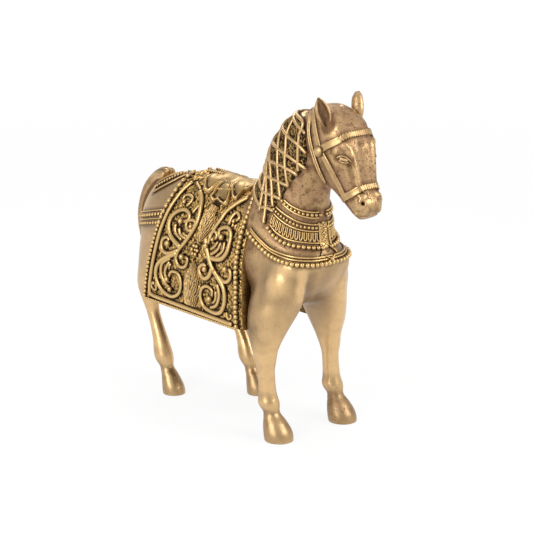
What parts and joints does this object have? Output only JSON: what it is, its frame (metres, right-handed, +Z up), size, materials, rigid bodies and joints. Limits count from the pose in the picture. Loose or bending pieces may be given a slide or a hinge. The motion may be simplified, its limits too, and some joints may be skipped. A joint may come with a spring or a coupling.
{
  "type": "horse figurine",
  "caption": "Cast brass horse figurine standing on its hooves, dressed with a scrolled saddle cloth, beaded collars, a bridle and a netted mane.",
  "frame": {"origin": "middle of the outline box on the plane that the hooves stand on", "axes": "+X towards the nose, +Y to the horse's left, +Z up"},
  "size_m": [0.2422, 0.0776, 0.2332],
  "materials": {
    "body_brass": "satin aged brass with a pinkish brown patina",
    "dark_ground_brass": "granular brass darkened almost black brown",
    "ornament_brass": "rubbed satin brass with dark crevices",
    "harness_brass": "satin aged brass"
  },
  "bodies": {
    "root": {"front_right_leg": "body_brass", "front_left_leg": "body_brass", "hind_right_leg": "body_brass", "hind_left_leg": "body_brass", "head": "body_brass", "tail": "body_brass", "neck": "body_brass", "torso": "body_brass", "ear_right": "body_brass", "ear_left": "body_brass", "saddle_cloth_right": "dark_ground_brass", "saddle_cloth_left": "dark_ground_brass", "seat_pad": "ornament_brass", "front_bead_row_right": "ornament_brass", "front_bead_row_left": "ornament_brass", "rear_bead_row_right": "ornament_brass", "rear_bead_row_left": "ornament_brass", "frame_cord_right": "ornament_brass", "frame_cord_left": "ornament_brass", "rear_scroll_right": "ornament_brass", "rear_scroll_left": "ornament_brass", "front_scroll_right": "ornament_brass", "front_scroll_left": "ornament_brass", "plume_leaf_right": "ornament_brass", "plume_leaf_left": "ornament_brass", "palmette_leaf_right": "ornament_brass", "palmette_leaf_left": "ornament_brass", "throat_collar_right": "harness_brass", "throat_collar_left": "harness_brass", "throat_bead_row_right": "ornament_brass", "throat_bead_row_left": "ornament_brass", "breast_collar_right": "harness_brass", "breast_collar_left": "harness_brass", "breast_bead_row_right": "ornament_brass", "breast_bead_row_left": "ornament_brass", "shoulder_collar": "harness_brass", "shoulder_bead_row": "ornament_brass", "breast_plaque": "harness_brass", "rosette_right": "harness_brass", "rosette_left": "harness_brass", "noseband": "harness_brass", "browband": "harness_brass", "upper_cheek_strap_right": "harness_brass", "upper_cheek_strap_left": "harness_brass", "lower_cheek_strap_right": "harness_brass", "lower_cheek_strap_left": "harness_brass", "throat_latch_right": "harness_brass", "throat_latch_left": "harness_brass", "mane_bed": "dark_ground_brass", "mane_net_right": "ornament_brass", "mane_net_left": "ornament_brass", "crupper_strap_right": "harness_brass", "crupper_strap_left": "harness_brass", "crupper_bead_row_right": "ornament_brass", "crupper_bead_row_left": "ornament_brass", "breeching_strap": "harness_brass", "upper_breeching_beads": "ornament_brass", "lower_breeching_beads": "ornament_brass"}
  },
  "joints": []
}
